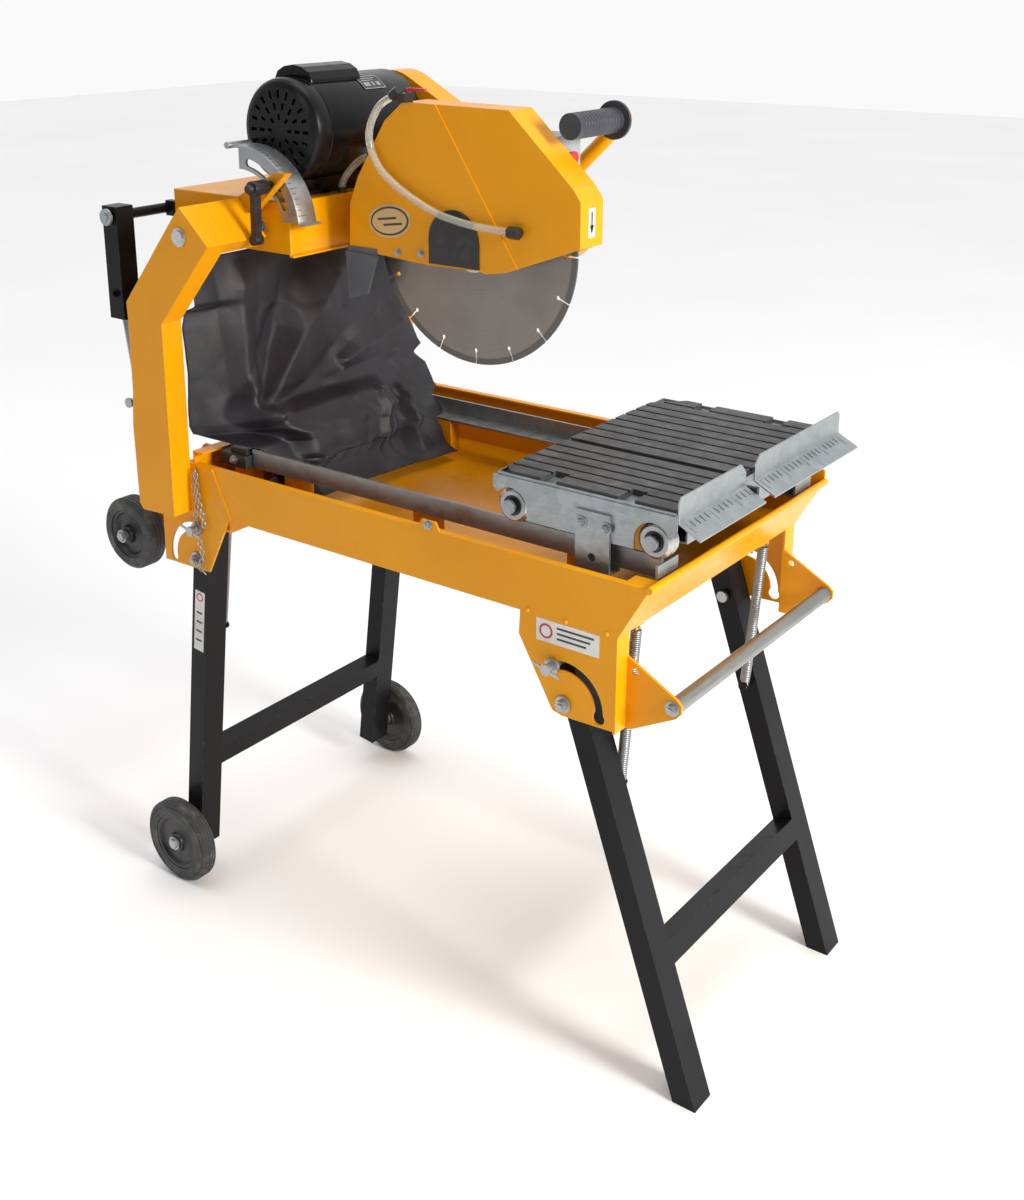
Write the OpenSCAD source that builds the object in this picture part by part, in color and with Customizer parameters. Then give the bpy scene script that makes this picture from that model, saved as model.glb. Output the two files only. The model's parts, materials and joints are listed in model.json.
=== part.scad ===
// Tile cutter on a folding stand. Units are millimetres, +X points to the operator
// end of the rails, +Y across the machine, +Z up, and the floor is at z = 0.

/* [Tray] */
// Height of the tray's lower edge above the floor
tray_low = 691; // [680:1:700]
// Height of the near wall's upper edge
tray_top = 770; // [760:1:775]
// Outer half width of the tray
tray_half_w = 256; // [250:1:256]
// Sheet thickness of the tray
sheet = 3; // [2:0.5:4]
// Height of the pan's inside floor
pan_z = 708; // [704:1:712]

/* [Rails and cart] */
// Height of the rails' upper edge
rail_z = 796; // [790:1:798]
// Upper surface of the cart's pads
deck_z = 869; // [860:1:872]
// Length of the cart's deck
deck_len = 277; // [260:1:280]
// Half width of the cart's deck
deck_half_w = 219; // [215:1:222]
// Width of the blade slot in the deck
slot_w = 13; // [9:1:16]
// Height of the fence's upper edge
fence_top = 892; // [880:1:900]

/* [Blade] */
// Blade diameter
blade_d = 355.6; // [340:0.1:360]
// Blade core thickness
blade_t = 3; // [2.4:0.1:3.4]
// Number of slots in the blade's rim
slots = 16; // [12:1:20]
// Depth of a rim slot
slot_depth = 20; // [12:1:24]

/* [Head] */
// Height of the head's pivot shaft
pivot_z = 1139; // [1130:1:1145]
// Height of the blade spindle
spindle_z = 1131.6; // [1128:0.1:1136]
// Radius of the motor's casing
motor_r = 78; // [70:1:78]
// Radius of the depth gauge's band
gauge_r = 119; // [117:1:121]

/* [Stand] */
// Lean of the front legs from upright
front_lean = 18.97; // [16:0.01:20]
// Lean of the rear legs from upright
rear_lean = 6.95; // [5:0.01:9]
// Wall thickness of the leg tubes
leg_wall = 3; // [2:0.5:4]
// Radius of the lower wheels
wheel_r = 74; // [68:1:74]
// Radius of the upper wheels
high_wheel_r = 62; // [56:1:62]
// Radius of the lock pins
pin_r = 6; // [5:0.5:6]

/* [Hidden] */
$fn = 48;
run = 0.05;
orange = [0.93, 0.6, 0.08];
black = [0.08, 0.08, 0.09];
steel = [0.66, 0.68, 0.7];
rubber = [0.13, 0.13, 0.14];
head_x = -290;
spin_x = 69;
blade_y = -53;
motor_x = -246;
motor_z = 1280;
front_piv = [370, 573];
rear_piv = [-343, 607];
front_top = 496;
bar_at = [521, 603];
wall_back = -428;
deck_x = 232;
roller_z = rail_z + 23;
axle_low = [-408, wheel_r];
axle_high = [-523, 605];
clamp_p = [-218, 1206];
strut_x = -466;

// Box between two corners
module slab(a, b) { translate(a) cube(b - a); }

// Rod along Y between two planes
module rod(p, r, y0, y1) {
    translate([p[0], y1, p[1]]) rotate([90, 0, 0]) cylinder(r = r, h = y1 - y0);
}

// Flat plate across Y with an outline given in x and z
module plate(y0, y1) {
    translate([0, y1, 0]) rotate([90, 0, 0]) linear_extrude(y1 - y0) children();
}

// Both the near and the far copy of a near-side part
module both() {
    children();
    mirror([0, 1, 0]) children();
}

// Ring sector about a Y axis, between two angles from +X towards +Z
module sector(c, r0, r1, a0, a1, y0, y1) {
    translate([c[0], y1, c[1]]) rotate([90, 0, 0]) rotate([0, 0, a0])
        rotate_extrude(angle = a1 - a0, $fn = 96)
            translate([r0, 0]) square([r1 - r0, y1 - y0]);
}

// Curved slot with round ends, as a cutter
module arc_cut(c, r, w, a0, a1, y0, y1) {
    sector(c, r - w / 2, r + w / 2, a0, a1, y0, y1);
    for (a = [a0, a1]) rod(c + r * [cos(a), sin(a)], w / 2, y0, y1);
}

// Straight bar between two points in the x-z plane
module bar2(p, q, w) {
    d = q - p;
    l = norm(d);
    translate(p) rotate(atan2(d[1], d[0])) translate([0, -w / 2]) square([l, w]);
}

// Hexagon head with washer and thread end, standing on a plane facing -Y
module bolt(p, y, r) {
    rod(p, r * 1.5, y - 1.5, y);
    translate([p[0], y - 1.5, p[1]]) rotate([90, 0, 0]) cylinder(r = r, h = r * 0.9, $fn = 6);
    rod(p, r * 0.55, y - 1.5 - r * 1.25, y - 1.5 - r * 0.9);
}

// The same bolt on a face turned away from -Y
module bolt_far(p, y, r) { mirror([0, 1, 0]) bolt(p, -y, r); }

// Close-wound spring between two hook eyes, at one y
module spring(p, q, y, r, wire) {
    d = q - p;
    l = norm(d);
    eye = 8;
    body = l - 2 * eye;
    n = floor(body / (wire * 1.2));
    pitch = body / n;
    translate([p[0], y, p[1]]) rotate([0, atan2(d[0], d[1]), 0]) {
        translate([0, 0, eye - 0.5]) cylinder(r = r - wire * 0.7, h = body + 1);
        translate([0, 0, eye]) rotate_extrude() polygon(concat(
            [[r - wire, body], [r - wire, 0]],
            [for (i = [0:n - 1]) each [[r - wire / 2, i * pitch], [r, (i + 0.5) * pitch]]],
            [[r - wire / 2, body]]));
        for (z = [0, l]) translate([0, 0, z]) rotate([90, 0, 0])
            rotate_extrude() translate([eye - wire / 2, 0]) circle(wire / 2);
    }
}

// Leg frame placed on its pivot with its own z axis along the tubes
module on_leg(piv, lean) {
    translate([piv[0], 0, piv[1]]) rotate([0, lean, 0]) children();
}

// Tube pair seen from its pivot, with the bores for the pivot bolt and the lock pin
module leg_pair(y0, y1, below, bar_z) {
    t = leg_wall;
    both() difference() {
        slab([-17, y0, -below], [17, y1, 62]);
        slab([-17 + t, y0 + t, -below - 1], [17 - t, y1 - t, 62 - t]);
        rod([0, 0], pin_r + run, y0 - 1, y1 + 1);
        rod([0, 55], pin_r + run, y0 - 1, y1 + 1);
    }
    difference() {
        slab([-17, y1, bar_z - 17], [17, -y1, bar_z + 17]);
        slab([-17 + t, y1 - 1, bar_z - 17 + t], [17 - t, 1 - y1, bar_z + 17 - t]);
    }
    both() {
        rod([0, -146], 4, y1, y1 + 16);
        rod([0, -146], 6.5, y1 + 14, y1 + 18);
    }
}

// Folded sheet tray that catches the water
module tray() {
    h = tray_half_w;
    s = sheet;
    low = tray_low;
    color(orange) {
        plate(-h, s - h) polygon([[wall_back, low], [451, low], [front_top, tray_top],
            [wall_back, tray_top]]);
        plate(h - s, h) polygon([[wall_back, low], [451, low], [front_top, tray_top],
            [front_top, 788], [470, 800], [wall_back, 800]]);
        slab([wall_back, -h, tray_top - s], [front_top - 1, 12 - h, tray_top]);
        slab([wall_back, h - 12, 800 - s], [470, h, 800]);
        // flared end wall with its rolled rim
        plate(-h, h) polygon([[451, low], [front_top, tray_top], [front_top - s, tray_top],
            [451 - s, low + 1], [451 - s, low]]);
        rod([front_top, tray_top], 5, -h - 1, h + 1);
        // rear wall with its shelf
        slab([-341, s - h, low], [s - 341, h - s, 790]);
        slab([-341, s - h, 787], [-318, h - s, 790]);
        // floor of the pan
        slab([-341, s - h, pan_z - s], [458, h - s, pan_z]);
        // short gusset under the near front corner and welds on the near wall
        slab([front_top - 40, -h, tray_top - s], [front_top, 34 - h, tray_top]);
        plate(-h - 2, -h) bar2([-296, 769], [-259, 692], 4);
        for (x = [310, 372, 436]) translate([x, -h - 1, low + 3]) sphere(3.2);
        // bolt tab and the saddles under the rails
        plate(-h, s - h) polygon([[116, tray_top - 4], [161, tray_top - 4], [152, 783],
            [128, 783]]);
        both() for (x = [-310, -200, 60, 330])
            slab([x, -194, pan_z - 1], [x + 40, -171, rail_z - 30]);
    }
}

// One column: outer plate, slanting front flange, rear flange and foot
module column() {
    color(orange) {
        plate(-295, -291) difference() {
            polygon([[-288, 1183], [-232, 1130], [-344, 1001], [-346, 690], [-419, 687],
                [-427, 697], [-428, 734], [-429, 829], [-423, 882], [-421, 997],
                [-422, 1026], [-308, 1161]]);
            translate([head_x, pivot_z]) circle(10 + run);
        }
        plate(-295, -256) {
            polygon([[-288, 1183], [-232, 1130], [-235, 1127.5], [-291, 1180.5]]);
            polygon([[-232, 1130], [-344, 1001], [-346, 690], [-350, 690], [-348, 1002.5],
                [-236, 1131.5]]);
            polygon([[-419, 687], [-346, 690], [-346, 694], [-419, 691]]);
            polygon([[-422, 1026], [-421, 997], [-423, 882], [-429, 829], [-428, 734],
                [-424, 734], [-425, 829], [-419, 882], [-417, 997], [-418, 1027]]);
            polygon([[-422, 1026], [-308, 1161], [-288, 1183], [-285, 1180], [-418, 1024]]);
        }
        // pivot bush
        difference() {
            rod([head_x, pivot_z], 17, -291, -262);
            rod([head_x, pivot_z], 10 + run, -292, -261);
        }
    }
}
module column_near() { column(); }
module column_far() { mirror([0, 1, 0]) column(); }

// Cross beam between the columns and the two folded stubs at the head's pivot
module tie_beam() {
    color(orange) {
        difference() {
            slab([-356, -291, 1034], [-322, 291, 1074]);
            slab([-353, -290, 1037], [-325, 290, 1071]);
        }
        both() plate(-256, -176) polygon([[-288, 1183], [-232, 1130], [-251, 1113],
            [-253, 1116], [-236, 1130.5], [-291, 1180.5]]);
    }
}

// Plate that carries the clamp lever beside the gauge
module clamp_plate() {
    color(orange) {
        plate(-176, -172) difference() {
            polygon([[-310, 1174], [-208, 1226], [-180, 1227], [-272, 1148], [-286, 1160]]);
            translate(clamp_p) circle(5.3);
        }
        plate(-186, -172) polygon([[-180, 1227], [-248, 1168.6], [-246, 1166.6],
            [-177, 1226]]);
    }
}

// Two angle rails with their front end stops
module rails() {
    color(steel) both() {
        slab([-256, -206, rail_z - 30], [484, -202, rail_z]);
        slab([-256, -206, rail_z - 30], [484, -171, rail_z - 26]);
        slab([484, -222, rail_z - 30], [488, -171, rail_z - 6]);
    }
}

// Rubber blocks that stop the cart at the rear of the rails
module stop_blocks() {
    color(rubber) both() {
        slab([-316, -220, rail_z - 30], [-257, -172, 787]);
        slab([-300, -212, 787], [-262, -182, 795]);
    }
}

// Plates that hold the front legs, with the slot for the lock pin and the ear
module front_bracket() {
    p = front_piv;
    color(orange) {
        difference() {
            plate(-256, -252) polygon([[297, 691], [295, 656], [351, 558], [368, 554],
                [447, 556], [451, 691]]);
            sector(p, 54 - pin_r, 56 + pin_r, -5, 110, -257, -251);
            rod(p + 55 * [cos(110), sin(110)], pin_r + 1, -257, -251);
            rod(p + 55 * [cos(-5), sin(-5)], pin_r + 3.5, -257, -251);
            rod(p, pin_r + 0.2, -257, -251);
        }
        slab([447, -256, 553], [451, -226, 691]);
        plate(-230, -226) difference() {
            polygon([[451, 657], [451, 553], [460, 553], [526, 589], [534, 598],
                [534, 609], [527, 616]]);
            translate([463, 638]) circle(5);
        }
        // hook tab for the spring
        slab([420, -190, 672], [426, -170, pan_z - sheet]);
        rod([436, 680], 3.5, -192, -168);
        slab([420, -192, 676], [440, -188, 684]);
    }
}
module front_brackets() { both() front_bracket(); }

// Plates that hold the rear legs
module rear_brackets() {
    p = rear_piv;
    color(orange) both() {
        difference() {
            plate(-256, -252) polygon([[-419, 691], [-420, 589], [-317, 590],
                [-265, 691]]);
            arc_cut(p, 55, 2 * pin_r + 2, 82, 188, -257, -251);
            rod(p, pin_r + 0.2, -257, -251);
        }
        slab([-317, -252, 668], [-265, -186, 672]);
        slab([-268, -252, 672], [-265, -186, 691]);
        rod([-332, 665], 3.5, -204, -180);
        slab([-336, -188, 661], [-305, -184, 672]);
    }
}

// Tubular carry handle between the ears of the front plates
module carry_bar() {
    color(steel) difference() {
        rod(bar_at, 11, -226, 226);
        rod(bar_at, 8.5, -227, 227);
    }
}

// Arms behind the tray that carry the upper wheels
module wheel_carrier() {
    a = axle_high;
    color(orange) both() difference() {
        plate(-201, -196) polygon([[-341, 700], [-341, 782], [-372, 782], [a[0] + 2, a[1] + 18],
            [a[0] - 14, a[1] + 10], [a[0] - 14, a[1] - 14], [a[0] + 12, a[1] - 14],
            [-415, 690], [-380, 700]]);
        rod(a, 8, -202, -195);
    }
}

// Every bolt that stays with the frame
module frame_bolts() {
    color(steel) {
        both() {
            for (p = [front_piv, rear_piv]) {
                rod(p, pin_r, -256, -204.6);
                rod(p, 11, -258, -256);
            }
            rod(front_piv, pin_r, -210, -184);
            bolt(front_piv, -258, 8);
            bolt(rear_piv, -258, 8);
            rod(front_piv, 9, -188, -182);
            bolt(bar_at, -230, 7);
            bolt([-283, 778], -220, 5);
        }
        bolt([139, 777], -256, 5);
        rod([-443, 859], 5, -286, -246);
        rod([-443, 859], 10, -250, -246);
        rod([-443, 859], 8, -290, -286);
        slab([-443, -286, 853], [-426.4, -280, 865]);
        rod(axle_high, 8, -258, 258);
        both() {
            rod(axle_high, 12, -209.5, -201);
            rod(axle_high, 11, -262, -258);
            translate([axle_high[0], -262, axle_high[1]]) rotate([90, 0, 0])
                cylinder(r = 8, h = 4, $fn = 6);
        }
    }
}

// Shaft the whole head swings on
module pivot_shaft() {
    color(steel) {
        rod([head_x, pivot_z], 10, -296, 296);
        both() {
            rod([head_x, pivot_z], 14, -298, -295);
            rod([head_x, pivot_z], 11, -301, -298);
        }
    }
}

// Splash curtain hanging from the cross beam into the tray
module curtain() {
    color(rubber) {
        plate(-250, 240) polygon([[-322, 1096], [-320, 1096], [-306, 960], [-276, 850],
            [-240, 800], [-242, 800], [-279, 850], [-309, 960], [-322, 1030]]);
        plate(-166, 166) polygon([[-240, 800], [-212, 765], [-130, 728], [-131, 726],
            [-214, 763], [-242, 800]]);
        // near edge turned back to the column, and the corner under the near rail
        plate(-250, -247) polygon([[-343, 1020], [-313, 1020], [-306, 960], [-276, 850],
            [-343, 850]]);
        plate(-248, -165) polygon([[-262, 709], [-203, 709], [-203, 760], [-212, 764],
            [-262, 764]]);
    }
}

// Sheet metal box that swings on the shaft
module head_box() {
    color(orange) {
        difference() {
            slab([-446, -165, 1103], [-193, 130, 1182]);
            slab([-442, -161, 1107], [-197, 126, 1178]);
            rod([head_x, pivot_z], 10 + run, -170, 140);
        }
        slab([-197, -165, 1099], [-187, 130, 1103]);
        both() difference() {
            rod([head_x, pivot_z], 18, -161, -126);
            rod([head_x, pivot_z], 10 + run, -162, -125);
        }
    }
}

// Rod across the rear of the box that the lift tube hangs on
module strut_rod() {
    color(black) {
        rod([strut_x, 1150], 8, -283, -154);
        slab([strut_x, -166, 1138], [-446, -154, 1162]);
    }
}

// Every bolt that stays with the head
module head_bolts() {
    color(steel) {
        bolt([-254, 1140], -165, 7);
        rod([strut_x, 1150], 13, -287, -283);
        rod([strut_x, 1150], 6, -290, -287);
        for (p = [[-5, 1115], [-49, 1112]]) bolt(p, -87, 4);
        for (p = [[-246, 1341], [-120, 1205], [69, 1088]]) bolt_far(p, 181, 5);
        for (y = [-82, 94]) translate([motor_x - 70, y, 1188])
            cylinder(r = 6, h = 6, $fn = 6);
    }
}

// Curved band and web that show and hold the cutting depth
module depth_gauge() {
    c = [head_x, pivot_z];
    color(steel) {
        difference() {
            sector(c, 86, gauge_r - 1, 8, 90, -169, -165);
            arc_cut(c, 98, 12, 22, 78, -171, -163);
        }
        sector(c, gauge_r - 2, gauge_r + 2, 6, 98, -170, -132);
        slab([-175, -169, 1150], [-158, -133, 1153]);
        rod([-308, 1259], 5, -176, -127);
    }
}

// Motor casing with its vented end, foot and shaft bearing
module motor() {
    c = [motor_x, motor_z];
    r = motor_r;
    color(black) {
        difference() {
            union() {
                translate([c[0], 0, c[1]]) rotate([-90, 0, 0]) rotate_extrude()
                    polygon([[0, -125], [r - 13, -125], [r - 6, -123], [r - 2, -119],
                        [r, -112], [r, -95], [r - 1, -94], [r - 1, -92], [r, -91],
                        [r, 114], [r - 3, 122], [r - 10, 128], [r - 20, 130], [0, 130]]);
                slab([motor_x - 62, -80, 1185], [motor_x + 20, 100, 1215]);
            }
            rod(c, r - 16, -90, 114);
            rod(c, r - 10, -120, -100);
            rod(c, 14, 100, 140);
            for (ring = [[16, 25, 8], [31, 42, 14], [48, 60, 20]])
                for (i = [0:ring[2] - 1]) rotate_at(c, i * 360 / ring[2])
                    slab([ring[0], -126, -2.4], [ring[1], -119, 2.4]);
        }
        slab([motor_x - 78, -92, 1182], [motor_x + 28, 104, 1188]);
    }
}

// Copy turned about a Y axis through a point
module rotate_at(c, a) { translate([c[0], 0, c[1]]) rotate([0, -a, 0]) children(); }

// Terminal and capacitor box on top of the motor
module motor_box() {
    color(black) {
        difference() {
            plate(-92, 18) polygon([[-286, 1332], [-284, 1354], [-278, 1365], [-265, 1372],
                [-246, 1375], [-227, 1372], [-214, 1365], [-208, 1354], [-206, 1332]]);
            rod([motor_x, motor_z], motor_r + 0.2, -100, 30);
        }
    }
}

// Arm from the box to the spindle bearing, with the tube that holds the grip
module arm() {
    color(orange) difference() {
        union() {
            plate(-25, 60) polygon([[-193, 1103], [-193, 1182], [60, 1166], [69, 1160],
                [69, 1104], [60, 1102]]);
            rod([spin_x, spindle_z], 32, -27, 62);
            translate([60, 73, 1140]) rotate([0, 46.5, 0]) cylinder(r = 11, h = 241);
            plate(54, 64) bar2([54, 1134], [110, 1187], 20);
            rod([235, 1309], 9, -54, 84);
            for (p = [[20, 1150], [-100, 1160]]) rod(p, 8, 55, 135);
        }
        plate(-19, 54) polygon([[-188, 1109], [-188, 1176], [30, 1160], [30, 1108]]);
        rod([spin_x, spindle_z], 12 + run, -30, 62);
        rod([spin_x, spindle_z], 15, 62, 90);
    }
}

// Outline round both pulleys, for the case and the belt
function arc_points(c, r, a0, a1) =
    [for (i = [0:20]) c + r * [cos(a0 + (a1 - a0) * i / 20), sin(a0 + (a1 - a0) * i / 20)]];
module belt_outline(r0, r1) {
    a = [motor_x, motor_z];
    b = [spin_x, spindle_z];
    d = b - a;
    g = atan2(d[1], d[0]);
    k = acos((r0 - r1) / norm(d));
    polygon(concat(arc_points(a, r0, g + k, g + 360 - k), arc_points(b, r1, g - k, g + k)));
}
module belt_cover() {
    color(orange) difference() {
        plate(135, 181) belt_outline(75, 56);
        plate(138, 178) belt_outline(72, 53);
        rod([motor_x, motor_z], 16, 130, 140);
        rod([spin_x, spindle_z], 16, 130, 140);
    }
}
module belt() {
    color(rubber) difference() {
        plate(151.8, 164.2) belt_outline(40, 32);
        plate(151, 165) belt_outline(33, 25);
    }
}

// Blade guard, open underneath
guard_edge = [[-35, 1330], [151, 1328], [258.5, 1230], [271, 1213], [271, 1150],
    [148, 1104], [112, 1098], [102, 1101], [10, 1099], [-145, 1108], [-142, 1176],
    [-125, 1217], [-70, 1302]];
module guard() {
    color(orange) {
        difference() {
            plate(-85, -30) polygon(guard_edge);
            plate(-82.5, -32.5) offset(delta = -2.5) polygon(guard_edge);
            plate(-82.5, -32.5) polygon([[-142, 1090], [-142, 1112], [10, 1104],
                [102, 1106], [146, 1108], [262, 1151], [262, 1090]]);
            rod([spin_x, spindle_z], 34, -35, -25);
        }
        // raised rear panel of the near face
        plate(-87, -85) polygon([[-35, 1330], [24, 1329.5], [168, 1111.5], [148, 1104],
            [112, 1098], [102, 1101], [10, 1099], [-145, 1108], [-142, 1176],
            [-125, 1217], [-70, 1302]]);
    }
    color(orange) slab([-20, -30, 1115], [20, -25, 1155]);
}
module guard_window() {
    color(black) plate(-89.5, -87) intersection() {
        union() {
            translate([56, 1139]) circle(45);
            translate([11, 1102]) square([91, 37]);
        }
        translate([0, 1103]) square([200, 100]);
    }
}
module splash_flap() {
    color(rubber) plate(-92, -89) polygon([[-150, 1104], [-86, 1102], [-108, 1042],
        [-145, 1032]]);
    color(steel) slab([-148, -89, 1094], [-90, -87, 1112]);
}

// Ribbed rubber grip with a flange at its far end
module grip() {
    color(rubber) translate([235, 0, 1309]) rotate([-90, 0, 0]) difference() {
        rotate_extrude() {
            difference() {
                translate([0, -60]) square([18, 112]);
                for (i = [0:11]) translate([18.4, -46 + i * 7.5]) circle(1.2);
            }
            translate([0, 48]) square([27, 5]);
        }
        translate([0, 0, -54]) cylinder(r = 9, h = 120);
    }
}

// Switch box on the far side of the guard
module switch_box() {
    color(steel) {
        difference() {
            slab([124, -26, 1226], [190, 34, 1290]);
            slab([127, -23, 1229], [187, 31, 1287]);
            translate([186, 4, 1258]) rotate([0, 90, 0]) cylinder(r = 8.5, h = 6);
        }
        translate([187, 4, 1258]) rotate([0, 90, 0]) difference() {
            cylinder(r = 13, h = 5);
            translate([0, 0, -1]) cylinder(r = 8.5, h = 7);
        }
        slab([140, 34, 1228], [160, 62, 1238]);
        translate([157, 4, 1218]) cylinder(r = 8, h = 8);
    }
}
module switch_button() {
    color([0.7, 0.06, 0.05]) {
        translate([189, 4, 1258]) rotate([0, 90, 0]) cylinder(r = 8, h = 9);
        translate([198, 4, 1258]) rotate([0, 90, 0]) cylinder(r = 10, h = 3);
    }
}

// Length of hose through a list of points at one y
module hose_run(y, r, pts) {
    for (i = [0:len(pts) - 2]) {
        d = pts[i + 1] - pts[i];
        translate([pts[i][0], y, pts[i][1]]) {
            rotate([0, atan2(d[0], d[1]), 0]) cylinder(r = r, h = norm(d));
            if (i > 0) sphere(r + 0.15);
        }
    }
}

// Clear water hoses held at both ends
module hoses() {
    color([0.85, 0.88, 0.8]) {
        hose_run(-96, 6, [[-47, 1338], [-72, 1322], [-91, 1290], [-88, 1258],
            [-76, 1236], [-51, 1217], [-15, 1197], [38, 1176], [100, 1167],
            [160, 1164]]);
        hose_run(-40, 6, [[-140, 1243], [-165, 1231], [-188, 1210], [-199, 1197],
            [-200, 1190]]);
    }
}
module water_fittings() {
    color(black) {
        translate([160, -96, 1164]) rotate([0, 90, 0]) cylinder(r = 9, h = 18, $fn = 6);
        rod([171, 1164], 6, -96, -85);
        translate([-47, -96, 1338]) rotate([0, 55, 0]) cylinder(r = 8, h = 16, $fn = 6);
        translate([-34, -99, 1330]) cube([12, 20, 13]);
        translate([-200, -40, 1182]) cylinder(r = 7, h = 8);
        translate([-140, -40, 1243]) rotate([0, 64, 0]) cylinder(r = 8, h = 34);
    }
}
module valve_lever() {
    color([0.75, 0.07, 0.05]) {
        translate([-28, -83, 1343.4]) cylinder(r = 4, h = 6);
        slab([-28, -86, 1346], [4, -80, 1350]);
    }
}

// V-belt pulley turned about Y
module pulley(r, bore) {
    rotate([-90, 0, 0]) rotate_extrude() polygon([[bore, -13], [r, -13], [r, -9],
        [r - 11.4, -6.6], [r - 11.4, 6.6], [r, 9], [r, 13], [bore, 13]]);
}
module motor_pulley() {
    color(steel) {
        translate([motor_x, 158, motor_z]) pulley(44, 12);
        rod([motor_x, motor_z], 12, 100, 173);
        rod([motor_x, motor_z], 5, 173, 175);
    }
}
module spindle() {
    color(steel) {
        translate([spin_x, 158, spindle_z]) pulley(36, 12);
        rod([spin_x, spindle_z], 12, -74, 173);
        rod([spin_x, spindle_z], 40, blade_y - 8, blade_y - blade_t / 2);
        rod([spin_x, spindle_z], 40, blade_y + blade_t / 2, blade_y + 8);
        rod([spin_x, spindle_z], 18, -72, blade_y - 8);
    }
}

// Segmented blade with keyhole slots
module blade() {
    t = blade_t / 2;
    r = blade_d / 2;
    color([0.45, 0.43, 0.41]) translate([spin_x, 0, spindle_z]) difference() {
        union() {
            rod([0, 0], r - 8, blade_y - t * 0.8, blade_y + t * 0.8);
            difference() {
                rod([0, 0], r, blade_y - t, blade_y + t);
                rod([0, 0], r - 9, blade_y - 5, blade_y + 5);
            }
        }
        rod([0, 0], 12, blade_y - 5, blade_y + 5);
        for (i = [0:slots - 1]) rotate([0, i * 360 / slots, 0]) {
            slab([-1.4, blade_y - 5, r - slot_depth], [1.4, blade_y + 5, r + 1]);
            rod([0, r - slot_depth], 3.2, blade_y - 5, blade_y + 5);
        }
    }
}

// Lever that clamps the head at a chosen depth
module clamp_lever() {
    p = clamp_p;
    color(black) {
        rod(p, 11, -216, -188);
        rod(p, 8, -188, -176.4);
        plate(-214, -202) bar2(p, p + [-2, -70], 11);
        rod(p + [-2, -76], 8, -216, -200);
    }
    color(steel) {
        rod(p, 5, -180, -164);
        rod(p, 6, -224, -216);
    }
}

// Square tube that hangs from the head's rear rod and pulls on the lift spring
module lift_tube() {
    color(black) difference() {
        slab([strut_x - 16.5, -278.5, 990], [strut_x + 16.5, -245.5, 1166]);
        slab([strut_x - 13.5, -275.5, 980], [strut_x + 13.5, -248.5, 1163]);
        rod([strut_x, 1150], 8 + run, -280, -240);
        slab([strut_x - 20, -265, 989], [strut_x + 20, -259, 998]);
    }
    color(steel) {
        rod([strut_x, 1002], 4, -275.5, -248.5);
        bolt([strut_x, 1030], -278.5, 5);
    }
}
module lift_spring() {
    color(steel) spring([-443, 859], [strut_x, 1002], -262, 8, 2.6);
}

// Frame of the sliding cart
module cart_frame() {
    x0 = deck_x;
    x1 = deck_x + deck_len;
    h = deck_half_w;
    zt = deck_z - 8;
    color(steel) {
        // deck sheet with the blade slot open to the rear
        difference() {
            slab([x0, -h, zt - 3], [x1, h, zt]);
            slab([x0 - 1, blade_y - slot_w / 2, zt - 4],
                [x1 - 24, blade_y + slot_w / 2, zt + 1]);
        }
        // near and far side plates with room for the rollers
        both() plate(-h - 2, 2.5 - h - 2) difference() {
            polygon([[x0 - 6, 842], [x0 - 6, zt], [x1 + 3, zt], [x1 + 3, 842],
                [x1 - 30, 804], [x0 + 40, 804], [x0 + 22, 822]]);
            for (x = [x0 + 23, x1 - 32]) translate([x, roller_z]) circle(27);
            translate([x1 - 32 - 27, 790]) square([70, 30]);
            translate([x0 - 8, 790]) square([58, 30]);
        }
        // lips of the sheet round the pads
        both() slab([x0, -h, zt], [x1, 2 - h, zt + 4]);
        slab([x0, -h, zt], [x0 + 2, blade_y - 8, zt + 4]);
        slab([x0, blade_y + 8, zt], [x0 + 2, h, zt + 4]);
        // cross members
        for (x = [x0 + 2, x0 + 120, x1 - 24]) difference() {
            slab([x, -h + 1, 812], [x + 22, h - 1, zt - 3]);
            slab([x + 2.5, -h, 814.5], [x + 19.5, h, zt - 5.5]);
            slab([x - 1, blade_y - 9, 838], [x + 23, blade_y + 9, zt + 1]);
            both() slab([x - 1, -h, 790], [x + 23, -184, 850]);
        }
        // roller axles held by short hangers
        both() for (x = [x0 + 23, x1 - 32]) {
            rod([x, roller_z], 7, -226, -190);
            rod([x, roller_z], 10, -226, -221);
            slab([x - 12, -194, roller_z - 12], [x + 12, -190, zt - 3]);
        }
        // hook plate that keeps the cart on the rail
        plate(-225, -221) difference() {
            polygon([[363, 842], [363, 762], [416, 762], [416, 842]]);
            translate([389, 779]) circle(6);
        }
        slab([363, -221, 758], [416, -197, 762]);
        slab([363, -225, 758], [416, -221, 762]);
        bolt([372, 824.6], -225, 6);
        bolt([410, 823.7], -225, 6);
        // plate under the deck's front edge
        plate(blade_y - 30, blade_y - 27) polygon([[x1 - 24, 812], [x1 + 6, 830],
            [x1 + 10, 848], [x1 + 10, zt], [x1 - 24, zt]]);
    }
}

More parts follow.
